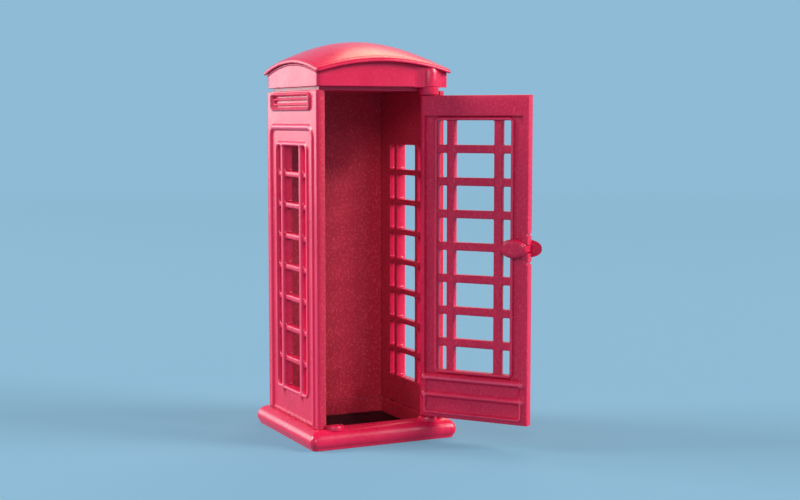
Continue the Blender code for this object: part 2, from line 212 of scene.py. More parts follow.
def planOutline(halfX, halfY, corner, sideSteps, cornerSteps):
    # rectangle with round corners seen from above, anticlockwise from the front left corner
    points = []
    for start, sx, sy in ((180, -1, -1), (270, 1, -1), (0, 1, 1), (90, -1, 1)):
        turn = np.radians(start + 90 * np.linspace(0, 1, cornerSteps + 1))
        arc = np.stack([sx * (halfX - corner) + corner * np.cos(turn),
                        sy * (halfY - corner) + corner * np.sin(turn)], 1)
        points.append(arc)
    full = []
    for i in range(4):
        here, there = points[i], points[(i + 1) % 4]
        shares = np.linspace(0, 1, sideSteps + 1)[1:-1, None]
        full += [here, here[-1] * (1 - shares) + there[0] * shares]
    return np.concatenate(full)


def skin(rings, wrapRings=False, caps=True):
    # quads between neighbouring closed rings, with the first and last ring filled
    rings = np.asarray(rings)
    count, around = rings.shape[:2]
    index = np.arange(count * around).reshape(count, around)
    upper = np.roll(index, -1, 0) if wrapRings else index[1:]
    lower = index if wrapRings else index[:-1]
    ahead = np.roll(lower, -1, 1)
    aheadUpper = np.roll(upper, -1, 1)
    quads = np.stack([lower, ahead, aheadUpper, upper], -1).reshape(-1, 4).tolist()
    if caps and not wrapRings:
        quads += [index[0][::-1].tolist(), index[-1].tolist()]
    return rings.reshape(-1, 3), quads


def roundedSlab(low, high, corner, edge, sideSteps=6, cornerSteps=6):
    # outlines stacked with a quarter round at the foot and at the top
    low, high = np.array(low, float), np.array(high, float)
    middle, half = (low + high) / 2, (high - low) / 2
    turn = np.linspace(0, math.pi / 2, 5)
    levels = [(edge * (1 - math.sin(t)), low[2] + edge * (1 - math.cos(t))) for t in turn]
    levels += [(edge * (1 - math.sin(t)), high[2] - edge * (1 - math.cos(t))) for t in turn[::-1]]
    rings = []
    for inset, z in levels:
        outline = planOutline(half[0] - inset, half[1] - inset, corner, sideSteps, cornerSteps)
        rings.append(np.column_stack([outline + middle[:2], np.full(len(outline), z)]))
    return skin(rings)


def turnedRound(profile, x, y, steps=64):
    # a profile of (radius, height) carried once round an upright axis
    turn = np.linspace(0, 2 * math.pi, steps, endpoint=False)
    rings = [np.column_stack([x + r * np.cos(turn), y + r * np.sin(turn), np.full(steps, z)])
             for r, z in profile]
    return skin(rings)


def halfRound(profile, x, y, steps=40):
    # a closed profile of (radius, height) carried half way round, on the -Y side, with both ends filled
    turn = np.linspace(math.pi, 2 * math.pi, steps)
    sections = [np.array([(x + r * math.cos(t), y + r * math.sin(t), z) for r, z in profile]) for t in turn]
    return skin(sections)


def joined(*parts):
    # several meshes as one, each with its indices moved on by the points before it
    points, faces, start = [], [], 0
    for some, quads in parts:
        points.append(some)
        faces += [[index + start for index in quad] for quad in quads]
        start += len(some)
    return np.concatenate(points), faces


weldWithin = 2e-7        # metres


def putMesh(name, points, faces, material, paintedLight=None, sharp=38, tidy=True):
    # millimetres in, metres out; an edge that bends more than `sharp` degrees stays sharp
    mesh = bpy.data.meshes.new(name)
    mesh.from_pydata((points * mm).tolist(), [], [list(face) for face in faces])
    if paintedLight is not None:
        mesh.attributes.new("paintedLight", "FLOAT", "POINT").data.foreach_set("value", paintedLight.astype(np.float32))
    if tidy:
        shape = bmesh.new()
        shape.from_mesh(mesh)
        bmesh.ops.remove_doubles(shape, verts=shape.verts, dist=weldWithin)
        bmesh.ops.recalc_face_normals(shape, faces=shape.faces)
        shape.to_mesh(mesh)
        shape.free()
    mesh.shade_smooth()
    mesh.set_sharp_from_angle(angle=math.radians(sharp))
    mesh.materials.append(material)
    piece = bpy.data.objects.new(name, mesh)
    bpy.context.scene.collection.objects.link(piece)
    return piece


def standsFor(piece, node, body):
    # the piece takes the place of the node, and moves with the body
    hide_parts(node)
    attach(piece, body)
    print("made", piece.name, len(piece.data.polygons), "faces")


# finishes: colours are linear, noise scales are per metre

crimson = {
    # deep and bright are a random mottle; the ridge colour is a painted highlight on raised lines
    "deep": (0.55, 0.006, 0.044, 1), "bright": (0.62, 0.008, 0.054, 1), "ridgeHighlight": (0.80, 0.070, 0.145, 1),
    # inside is painted shade: a darker red for the booth's inner faces
    "inside": (0.47, 0.013, 0.036, 1), "insideRough": 0.5,
    "speck": (0.86, 0.075, 0.13, 1), "mottleScale": 260, "peelScale": 2600, "grainScale": 5200,
    "roughLow": 0.24, "roughHigh": 0.34, "peel": 0.25, "grain": 0.18, "specks": 0.16, "insideSpecks": 0.55,
    "specular": 0.32, "coat": 0.12,
}

# what all the plastics share; depths are in metres, spans are the part of a value that is stretched to 0..1
plastic = {"ior": 1.5, "coatRough": 0.2, "peelDepth": 0.00003, "grainDepth": 0.00001,
           "mottleSpan": (0.3, 0.7), "speckSpan": (0.5, 0.75), "ridgeSpan": (0.35, 1), "ridgeShare": 0.75}


def addNode(material, kind, **values):
    # each value is set on the node where it has such a property, and on its input socket where not
    node = material.node_tree.nodes.new(kind)
    for name, value in values.items():
        if hasattr(node, name):
            setattr(node, name, value)
        else:
            node.inputs[name].default_value = value
    return node


def noiseOf(material, where, scale, detail):
    node = addNode(material, "ShaderNodeTexNoise", Scale=scale, Detail=detail)
    material.node_tree.links.new(where, node.inputs["Vector"])
    return node.outputs["Fac"]


def feed(material, socket, value):
    # a socket is linked, and anything else is set as the constant
    if isinstance(value, bpy.types.NodeSocket):
        material.node_tree.links.new(value, socket)
    else:
        socket.default_value = value


def mixColour(material, factor, first, second):
    # first * (1 - factor) + second * factor
    node = addNode(material, "ShaderNodeMix", data_type="RGBA")
    for socket, value in ((node.inputs[0], factor), (node.inputs[6], first), (node.inputs[7], second)):
        feed(material, socket, value)
    return node.outputs[2]


def remap(material, value, fromLow, fromHigh, toLow, toHigh):
    # the span from low to high is stretched on to the other span, and held at its ends
    node = material.node_tree.nodes.new("ShaderNodeMapRange")
    for socket, limit in zip(node.inputs[:5], (value, fromLow, fromHigh, toLow, toHigh)):
        feed(material, socket, limit)
    return node.outputs[0]


def bumpOn(material, height, strength, distance, after=None):
    node = addNode(material, "ShaderNodeBump", Strength=strength, Distance=distance)
    material.node_tree.links.new(height, node.inputs["Height"])
    if after is not None:
        material.node_tree.links.new(after, node.inputs["Normal"])
    return node.outputs["Normal"]


def mouldedPlastic(name, look):
    # colour: deep to bright by broad noise, then towards `inside`, a painted shade, as the painted light
    # value falls from 0 to -1,
    #  towards the ridge colour, a painted highlight, on ridges as that value rises to 1, and towards `speck`
    #  where the fine noise is high;
    # surface: a low orange peel under a finer grain, with roughness that drifts with the broad noise
    material = bpy.data.materials.new(name)
    material.use_nodes = True
    links = material.node_tree.links
    shader = material.node_tree.nodes["Principled BSDF"]
    where = material.node_tree.nodes.new("ShaderNodeTexCoord").outputs["Object"]
    mottle = noiseOf(material, where, look["mottleScale"], 4)
    grain = noiseOf(material, where, look["grainScale"], 2)
    broad = remap(material, mottle, *plastic["mottleSpan"], 0, 1)
    colour = mixColour(material, broad, look["deep"], look["bright"])
    paintedLightNode = material.node_tree.nodes.new("ShaderNodeAttribute")
    paintedLightNode.attribute_name = "paintedLight"
    paintedLight = paintedLightNode.outputs["Fac"]
    colour = mixColour(material, remap(material, paintedLight, -1, 0, 0, 1), look["inside"], colour)
    ridgeHighlightShare = remap(material, paintedLight, *plastic["ridgeSpan"], 0, plastic["ridgeShare"])
    colour = mixColour(material, ridgeHighlightShare, colour, look["ridgeHighlight"])
    share = addNode(material, "ShaderNodeMath", operation="MULTIPLY")
    links.new(remap(material, grain, *plastic["speckSpan"], 0, 1), share.inputs[0])
    links.new(remap(material, paintedLight, -1, 0, look["insideSpecks"], look["specks"]), share.inputs[1])
    colour = mixColour(material, share.outputs[0], colour, look["speck"])
    links.new(colour, shader.inputs["Base Color"])
    outsideRough = remap(material, mottle, *plastic["mottleSpan"], look["roughLow"], look["roughHigh"])
    links.new(remap(material, paintedLight, -1, 0, look["insideRough"], outsideRough), shader.inputs["Roughness"])
    peelNoise = noiseOf(material, where, look["peelScale"], 2)
    peel = bumpOn(material, peelNoise, look["peel"], plastic["peelDepth"])
    both = bumpOn(material, grain, look["grain"], plastic["grainDepth"], peel)
    links.new(both, shader.inputs["Normal"])
    shader.inputs["IOR"].default_value = plastic["ior"]
    shader.inputs["Specular IOR Level"].default_value = look["specular"]
    shader.inputs["Coat Weight"].default_value = look["coat"]
    shader.inputs["Coat Roughness"].default_value = plastic["coatRough"]
    return material


outerRed = mouldedPlastic("crimsonPlastic", crimson)
doorLook = dict(crimson, roughLow=0.32, roughHigh=0.46, grain=0.4, specks=0.4)
doorRed = mouldedPlastic("crimsonDoorPlastic", doorLook)
pinRed = mouldedPlastic("crimsonPinPlastic", dict(crimson, mottleScale=900, specks=0.1))
floorBlack = mouldedPlastic("blackPlastic", {
    "deep": (0.0015, 0.0012, 0.0015, 1), "bright": (0.004, 0.003, 0.0035, 1), "ridgeHighlight": (0.01, 0.009, 0.01, 1),
    # the pale specks on the black are painted glints
    "speck": (0.10, 0.09, 0.095, 1), "mottleScale": 700, "peelScale": 1800, "grainScale": 7000,
    "inside": (0.0015, 0.0012, 0.0015, 1), "insideRough": 0.5,
    "roughLow": 0.34, "roughHigh": 0.5, "peel": 0.4, "grain": 0.35, "specks": 0.3, "insideSpecks": 0.3,
    "specular": 0.1, "coat": 0.0,
})
print("finishes ready")


# walls: widths and heights of the openings, then of each raised line

glazedSide = {
    "windowLow": 4.2, "windowHigh": 25.3, "rows": 8, "wide": 3.6, "upright": 0.62, "narrow": 0.86, "bar": 0.5,
    "paneCorner": 0.18, "paneEdge": 0.13, "outerAt": 4.85, "outerTop": 26.9, "outerRound": 0.8,
    "outerHalf": 0.3, "footRise": 0.3, "innerAt": 3.55, "innerRound": 0.6, "innerHalf": 0.23,
    "innerMargin": 0.17,
    "ridge": 0.15, "uprightRidge": 0.22, "pastFoot": 0.22, "pastTop": 0.04, "fieldDrop": 0.07,
    "signHalf": 4.4, "signLow": 28.45, "signHigh": 29.7, "signRound": 0.3, "signLine": 0.17, "signInset": 0.4,
    "signInner": 0.8, "signRidge": 0.22, "signDrop": 0.15, "cornerEdge": 0.2, "rimEdge": 0.1,
    "step": 0.35, "stepThick": 0.45, "barDrop": 0.05, "shadeFade": 0.15,
    "outlineAt": 3.95, "outlineAbove": 0.27,
}


def paneColumns(shape, middle=0.0):
    # left and right edges of a narrow, a wide and a narrow column of panes
    start = shape["wide"] / 2 + shape["upright"]
    columns = [(-start - shape["narrow"], -start), (-shape["wide"] / 2, shape["wide"] / 2),
               (start, start + shape["narrow"])]
    return [(left + middle, right + middle) for left, right in columns]


def paneRows(shape):
    # rows of one height, with a bar between each two, that fill the window
    height = (shape["windowHigh"] - shape["windowLow"] - (shape["rows"] - 1) * shape["bar"]) / shape["rows"]
    pitch = height + shape["bar"]
    starts = [shape["windowLow"] + i * pitch for i in range(shape["rows"])]
    return [(start, start + height) for start in starts]


def panesOf(shape, middle=0.0):
    return [(left, right, low, high, shape["paneCorner"])
            for left, right in paneColumns(shape, middle) for low, high in paneRows(shape)]


def paneMarks(shape, spans):
    # the edges of a row or column of panes, and the lines beside them
    edges = [(low, 1) for low, high in spans] + [(high, -1) for low, high in spans]
    return [edge for edge, side in edges], edgeMarks(edges, shape["paneEdge"], shape["paneCorner"])


def paneDistance(u, z, panes):
    # signed distance to the nearest pane, negative inside it
    nearest = np.full(u.shape, 1e3)
    for left, right, low, high, radius in panes:
        here = roundRectangle(u, z, (right - left) / 2, low, high, radius, (left + right) / 2)
        nearest = np.minimum(nearest, here)
    return nearest


def signRelief(u, z, shape):
    # two ridges, one inside the other, with a sunk field between and within
    around = roundRectangle(u, z, shape["signHalf"], shape["signLow"], shape["signHigh"], shape["signRound"])
    outer = ridge(around, shape["signLine"], shape["signRidge"], softRidge)
    innerLine = shape["signLine"] * shape["signInner"]
    inner = ridge(around + shape["signInset"], innerLine, shape["signRidge"], softRidge)
    sunk = -shape["signDrop"] * smoothStep(-around, 0, 0.1)
    return np.maximum(outer, inner), sunk


def wallMarks(shape, half, foot, top):
    # where the grid needs lines: ridges, their round corners, round edges and the sign
    uEdges, uDetails = paneMarks(shape, paneColumns(shape))
    zEdges, zDetails = paneMarks(shape, paneRows(shape))
    innerLine = shape["signLine"] * shape["signInner"]
    innerLow = shape["windowLow"] - shape["innerMargin"]
    innerHigh = shape["windowHigh"] + shape["innerMargin"]
    along = [*ridgeMarks(shape["outerAt"], shape["outerHalf"]),
             *ridgeMarks(shape["innerAt"], shape["innerHalf"]),
             *ridgeMarks((shape["wide"] + shape["upright"]) / 2, shape["upright"] / 2),
             *ridgeMarks(shape["signHalf"], shape["signLine"]),
             *ridgeMarks(shape["signHalf"] - shape["signInset"], innerLine),
             *cornerMarks(shape["outerAt"], shape["outerRound"], 0.32, 0.085),
             *cornerMarks(shape["innerAt"], shape["innerRound"], 0.25, 0.08),
             half - 0.05, half - 0.11, half - shape["cornerEdge"]]
    uDetails += [side * value for side in (-1, 1) for value in along]
    zDetails += [*ridgeMarks(shape["outerTop"], shape["outerHalf"]),
                 *ridgeMarks(innerLow, shape["innerHalf"]),
                 *ridgeMarks(innerHigh, shape["innerHalf"]), *ridgeMarks(shape["signLow"], shape["signLine"]),
                 *ridgeMarks(shape["signHigh"], shape["signLine"]),
                 *ridgeMarks(shape["signLow"] + shape["signInset"], innerLine),
                 *ridgeMarks(shape["signHigh"] - shape["signInset"], innerLine),
                 *cornerMarks(shape["outerTop"], shape["outerRound"], 0.32, 0.085),
                 *cornerMarks(innerLow, 0.25, shape["innerRound"], 0.08),
                 *cornerMarks(innerHigh, shape["innerRound"], 0.25, 0.08),
                 *cornerMarks(foot, 0, 0.5, 0.08), foot + 0.05, top - 0.04, top - shape["rimEdge"]]
    return uEdges + [-half, half], uDetails, zEdges + [foot, top], zDetails


def outerRidgeDistance(u, z, shape, foot):
    # an upside-down U: a tall rounded rectangle whose lower end is replaced by two round feet
    around = roundRectangle(u, z, shape["outerAt"], foot - 10, shape["outerTop"], shape["outerRound"])
    feet = np.hypot(np.abs(u) - shape["outerAt"], foot + shape["footRise"] - z)
    return np.where(z < foot + shape["footRise"], feet, np.abs(around)), around


def sideWall(name, frontEnd, degrees, x):
    # one glazed side in its own frame: outside faces -Y, frontEnd is +1 or -1 along u
    shape = glazedSide
    low, high = cadBoxOf(name)
    half, foot, top = high[1], low[2], high[2]
    wallLow, wallHigh = cadBoxOf("right_wall")
    thick = wallHigh[0] - wallLow[0] - shape["uprightRidge"]
    panes = panesOf(shape)
    uEdges, uDetails, zEdges, zDetails = wallMarks(shape, half, foot, top)
    stepAt = frontEnd * (half - shape["step"])
    uEdges += [stepAt, stepAt + frontEnd * 0.03]
    uLines, zLines = gridLines(uEdges, uDetails, 0.5), gridLines(zEdges, zDetails, 0.5)

    def faces(u, z):
        outerDistance, around = outerRidgeDistance(u, z, shape, foot)
        outer = ridge(outerDistance, shape["outerHalf"], shape["ridge"], softRidge)
        window = roundRectangle(u, z, shape["innerAt"], shape["windowLow"] - shape["innerMargin"],
                                shape["windowHigh"] + shape["innerMargin"], shape["innerRound"])
        inner = ridge(window, shape["innerHalf"], shape["ridge"], softRidge)
        at = (shape["wide"] + shape["upright"]) / 2
        bars = [ridge(upright(u, z, side * at, shape["windowLow"] - shape["pastFoot"],
                              shape["windowHigh"] + shape["pastTop"]), shape["upright"] / 2,
                      shape["uprightRidge"], 3) for side in (-1, 1)]
        sign, sunk = signRelief(u, z, shape)
        raised = np.maximum.reduce([outer, inner, sign, *bars])
        field = -shape["fieldDrop"] * smoothStep(-around, 0, 0.25) * smoothStep(z, foot, foot + 0.4) + sunk
        field -= shape["barDrop"] * smoothStep(-window, 0.1, 0.3)
        gap = paneDistance(u, z, panes)
        ends = half - np.abs(u)
        rims = np.minimum(z - foot, top - z)
        fall = quarterRound(gap, shape["paneEdge"]) + quarterRound(ends, shape["cornerEdge"])
        fall = np.maximum(fall, quarterRound(rims, shape["rimEdge"]))
        front = raised + field - fall
        inside = np.where(u * frontEnd > half - shape["step"] + 0.01, shape["stepThick"], thick)
        insideFall = quarterRound(gap, shape["paneEdge"]) + quarterRound(rims, 0.05)
        # raised lines get a painted highlight; the inner face gets painted shade, thinning out near the pane
        # edges
        frontPaintedLight = np.clip(raised / shape["ridge"], 0, 1) ** 2
        return front, inside - insideFall, frontPaintedLight, np.clip(-gap / shape["shadeFade"], -1, 0)

    points, quads, paintedLight = plate(uLines, zLines, panes, faces)
    piece = putMesh(name + "_skin", placed(points, degrees, x, 0), quads, outerRed, paintedLight, tidy=False)
    standsFor(piece, name, "booth")


sideWall("left_wall", 1, -90, -cadBoxOf("left_wall")[1][1])
sideWall("right_wall", -1, 90, cadBoxOf("right_wall")[1][1])


def backWall():
    # blind panel between the sides: one outline ridge round a sunk field, and the sign above
    shape = glazedSide
    low, high = cadBoxOf("back_wall")
    half, foot, top = high[0], low[2], high[2]
    outerFace = cadBoxOf("left_wall")[1][1]
    thick = outerFace - low[1]
    outlineAt, outlineHigh = shape["outlineAt"], shape["windowHigh"] + shape["outlineAbove"]
    uEdges, uDetails, zEdges, zDetails = wallMarks(dict(shape, rows=1, innerAt=outlineAt), half, foot, top)
    uLines, zLines = gridLines([-half, half], uDetails, 0.5), gridLines([foot, top], zDetails, 0.5)

    def faces(u, z):
        around = roundRectangle(u, z, outlineAt, shape["windowLow"], outlineHigh, shape["innerRound"])
        line = ridge(around, shape["innerHalf"], shape["ridge"], softRidge)
        sign, sunk = signRelief(u, z, shape)
        raised = np.maximum(line, sign)
        rims = np.minimum(np.minimum(z - foot, top - z), half - np.abs(u))
        front = raised + sunk - shape["fieldDrop"] * smoothStep(-around, 0, 0.2) - quarterRound(rims, 0.08)
        # raised lines get a painted highlight; the whole inner face gets painted shade
        return front, thick + rims * 0, np.clip(raised / shape["ridge"], 0, 1) ** 2, u * 0 - 1

    points, quads, paintedLight = plate(uLines, zLines, [], faces)
    piece = putMesh("back_wall_skin", placed(points, 180, 0, outerFace), quads, outerRed, paintedLight, tidy=False)
    standsFor(piece, "back_wall", "booth")


backWall()
print("walls ready")


# plinth and floor

plinth = {"nose": 0.95, "corner": 0.55, "undercut": 0.2, "opening": 4.95, "top": 1.65, "footBevel": 0.12,
          "stepDrop": 0.035, "bossX": 4.4, "bossY": -5.62, "bossRadius": 0.85, "bossTop": 1.95}


def plinthRing():
    # closed profile carried round the square: foot, undercut, round nose, small step, flat top, inner side
    half, shape = cadBoxOf("base_plinth")[1][0], plinth
    turn = np.linspace(0, math.pi / 2, 12)
    noseFoot = shape["top"] - shape["nose"]
    foot = half - shape["undercut"]
    profile = [(foot - shape["footBevel"], 0.0), (foot - 0.04, 0.035), (foot, shape["footBevel"])]
    profile += [(half - shape["undercut"] * (1 - share) ** 2, noseFoot * (0.3 + 0.6 * share))
                for share in (0, 0.4, 0.8)]
    profile += [(half - shape["nose"] * (1 - math.cos(t)), noseFoot + shape["nose"] * math.sin(t))
                for t in turn]
    flat = half - shape["nose"] - 0.02
    stepFoot = shape["top"] - shape["stepDrop"]
    profile += [(flat - 0.03, stepFoot), (flat - 0.09, stepFoot), (flat - 0.12, shape["top"])]
    profile += [(shape["opening"] + 0.06, shape["top"]), (shape["opening"], shape["top"] - 0.06)]
    profile += [(shape["opening"], 0.05), (shape["opening"] + 0.05, 0.0)]
    rings = []
    for reach, z in profile:
        corner = max(0.08, shape["corner"] + (reach - half) * 0.45)
        outline = planOutline(reach, reach, corner, 24, 10)
        rings.append(np.column_stack([outline, np.full(len(outline), z)]))
    return skin(rings, wrapRings=True)


def sillBoss(side):
    # half disc on the sill: a low crown, a ring groove and a round shoulder
    r, top, foot = plinth["bossRadius"], plinth["bossTop"], plinth["top"] - 0.1
    profile = [(0.02, foot), (r, foot), (r, top - 0.14), (r - 0.04, top - 0.05), (r - 0.13, top),
               (r - 0.24, top), (r - 0.29, top - 0.05), (r - 0.36, top - 0.05), (r - 0.41, top), (0.3,
               top), (0.02, top)]
    return halfRound(profile, side * plinth["bossX"], plinth["bossY"])


points, faces = joined(plinthRing(), sillBoss(-1), sillBoss(1))
# the sides of the opening get painted shade, the darker inside red
inner = np.abs(points[:, :2]).max(1) < plinth["opening"] + 0.03
piece = putMesh("base_plinth_skin", points, faces, outerRed, -1.0 * inner, sharp=32)
standsFor(piece, "base_plinth", "booth")


floorShape = {"wave": 0.025, "sunk": 0.03, "edge": 0.1}


def floorPlate():
    # sheet with round edges, whose top dips and rises by wave * sin(1.7 u + 0.6 z) * cos(1.3 z) - sunk
    low, high = cadBoxOf("floor_plate")
    marks = [side * (high[0] - step) for side in (-1, 1) for step in (0.03, 0.07, 0.12)]
    lines = gridLines([low[0], high[0]], marks, 0.28)

    def faces(u, z):
        rims = np.minimum(high[0] - np.abs(u), high[1] - np.abs(z))
        waves = floorShape["wave"] * np.sin(u * 1.7 + 0.6 * z) * np.cos(z * 1.3) - floorShape["sunk"]
        above = high[2] + waves * smoothStep(rims, 0, 1) - quarterRound(rims, floorShape["edge"])
        return above, u * 0, rims * 0, rims * 0

    points, quads = plate(lines, lines, [], faces)[:2]
    flat = np.stack([points[:, 0], points[:, 2], -points[:, 1]], 1)
    return putMesh("floor_plate_skin", flat, quads, floorBlack)


standsFor(floorPlate(), "floor_plate", "booth")
print("plinth and floor ready")


# roof

roofShape = {
    "skirtX": 5.95, "skirtFront": -6.2, "skirtBack": 5.5, "eaveX": 6.2, "eaveFront": -6.7, "eaveBack": 5.95,
    "skirtLow": 30.3, "rim": 31.7, "arch": 0.95, "crown": 0.65, "steps": 72, "cornerPull": 0.1,
    "underShare": -0.15, "bossX": 4.4, "bossY": -5.9, "bossRadius": 0.85, "bossLow": 29.65, "bossHigh": 31.95,
    "ribs": ((1.08, 0.34), (1.32, 0.2), (1.56, 0.09)), "ribBack": 0.05,
}


def roofHeight(x, y):
    # arch * (a + b) + crown * a * b over the rim, where a = 1 - u^2 and b = 1 - v^2
    shape = roofShape
    middle, reach = (shape["eaveFront"] + shape["eaveBack"]) / 2, (shape["eaveBack"] - shape["eaveFront"]) / 2
    a, b = 1 - (x / shape["eaveX"]) ** 2, 1 - ((y - middle) / reach) ** 2
    return shape["rim"] + shape["arch"] * (a + b) + shape["crown"] * a * b


def roofPlan(u, v, share):
    # from skirt (share 0) to eave (share 1), with the corners pulled in by a high power of u * v
    shape = roofShape
    reachX = shape["skirtX"] + share * (shape["eaveX"] - shape["skirtX"])
    front = shape["skirtFront"] + share * (shape["eaveFront"] - shape["skirtFront"])
    back = shape["skirtBack"] + share * (shape["eaveBack"] - shape["skirtBack"])
    pull = shape["cornerPull"] * np.abs(u * v) ** 50
    return u * (reachX - pull), (front + back) / 2 + v * ((back - front) / 2 - pull)


def roofShell():
    # rings of (share outward, drop below the dome) from the skirt's foot over the bead to the dome's edge
    steps = roofShape["steps"]
    t = np.linspace(-1, 1, steps + 1)[:-1]
    one = np.ones(steps)
    u, v = np.concatenate([t, one, -t, -one]), np.concatenate([-one, t, one, -t])
    profile = [(0.0, 0.80), (0.0, 0.66), (0.16, 0.60), (0.26, 0.54), (0.26, 0.49), (0.10, 0.45), (0.0, 0.42),
               (0.02, 0.37), (0.30, 0.35), (0.70, 0.345), (0.90, 0.31), (0.985, 0.25), (1.0, 0.18),
               (0.985, 0.11), (0.90, 0.045), (0.75, 0.01), (0.55, 0.0), (0.36, 0.012), (0.26, 0.03),
               (0.18, 0.02), (0.06, 0.0)]
    rings = []
    for share, z in ((roofShape["underShare"], roofShape["skirtLow"]), (0.0, roofShape["skirtLow"] + 0.05)):
        x, y = roofPlan(u, v, share)
        rings.append(np.column_stack([x, y, np.full(len(u), z)]))
    for share, drop in profile:
        x, y = roofPlan(u, v, share)
        rings.append(np.column_stack([x, y, roofHeight(x, y) - drop]))
    points, faces = skin(rings, caps=False)
    gridU, gridV = np.meshgrid(np.linspace(-1, 1, steps + 1), np.linspace(-1, 1, steps + 1), indexing="ij")
    index = np.arange(gridU.size).reshape(gridU.shape)
    quads = np.stack([index[:-1, :-1], index[1:, :-1], index[1:, 1:], index[:-1, 1:]], -1).reshape(-1, 4)
    x, y = roofPlan(gridU, gridV, profile[-1][0])
    dome = np.stack([x.ravel(), y.ravel(), (roofHeight(x, y) - profile[-1][1]).ravel()], 1)
    x, y = roofPlan(gridU, gridV, roofShape["underShare"])
    under = np.stack([x.ravel(), y.ravel(), np.full(x.size, roofShape["skirtLow"])], 1)
    return joined((points, faces), (dome, quads.tolist()), (under, quads[:, ::-1].tolist()))


def bossRib(halfWidth, proud):
    # an upright with the plan of half an ellipse, against the skirt behind the boss
    shape = roofShape
    turn = np.linspace(math.pi, 2 * math.pi, 24)
    x = shape["bossX"] + halfWidth * np.cos(turn)
    y = shape["skirtFront"] + shape["ribBack"] + (proud + shape["ribBack"]) * np.sin(turn)
    levels = (shape["skirtLow"] - 0.02, shape["bossHigh"])
    rings = [np.column_stack([x, y, np.full(len(x), z)]) for z in levels]
    return skin(rings)


def roofPieces():
    # the shell, a seat that closes it on to the walls, and the boss over the hinge between its ribs
    wallTop = cadBoxOf("left_wall")[1][2]
    shape = roofShape
    seat = roundedSlab((-5.5, -5.5, wallTop - 0.02), (5.5, 5.3, 30.6), 0.15, 0.0)
    r, foot, head = shape["bossRadius"], shape["bossLow"], shape["bossHigh"]
    boss = turnedRound([(r - 0.35, foot), (r - 0.1, foot), (r - 0.03, foot + 0.03), (r, foot + 0.1),
                        (r, foot + 0.55), (r - 0.05, foot + 0.6), (r - 0.05, foot + 0.66), (r, foot + 0.71),
                        (r, head - 0.4), (r - 0.04, head - 0.25), (r - 0.14, head)],
                       shape["bossX"], shape["bossY"])
    ribs = [bossRib(halfWidth, proud) for halfWidth, proud in shape["ribs"]]
    return joined(roofShell(), seat, boss, *ribs)


points, faces = roofPieces()
standsFor(putMesh("roof_skin", points, faces, outerRed, sharp=34), "roof", "booth")
print("roof ready")


# door and handle, worked out shut about the hinge axis and then turned open

doorShape = {
    "tail": 0.75, "width": 10.1, "halfThick": 0.45, "windowLow": 6.2, "windowHigh": 27.5, "rows": 8,
    "wide": 3.6, "upright": 0.75, "narrow": 0.78, "bar": 0.7, "paneCorner": 0.11, "paneEdge": 0.1,
    "frameAt": 3.65, "frameHalf": 0.23, "frameRidge": 0.12, "frameRound": 0.5, "frameMargin": 0.27,
    "fieldDrop": 0.05, "recessAt": 4.5, "recessLow": 5.8, "recessHigh": 27.9, "recess": 0.3,
    "recessRound": 0.1, "lipAt": 3.51, "lipHalf": 0.18, "lip": 0.2, "lipMargin": 0.12, "lipRound": 0.3,
    "barRidge": 0.06,
    "rails": (5.45, 4.0), "railHalf": 0.3, "rail": 0.17, "panelDrop": 0.22, "panelLow": 2.5,
    "panelRound": 0.2, "panelHalf": 4.42, "panelLine": 0.13, "edge": 0.1, "notch": 0.85, "notchTall": 0.7,
    "nickDeep": 0.16, "nickTall": 0.24, "nickAway": 1.2,
}
handleShape = {"z": 16.9, "long": 3.3, "tall": 1.6, "proud": 0.32, "past": 0.85, "air": 0.05,
               "outerBlunt": 0.8, "innerBlunt": 0.9, "fromEdge": 0.1, "bite": 0.16, "neckGap": 0.05,
               "neckRound": 0.08, "neckEdge": 0.06}


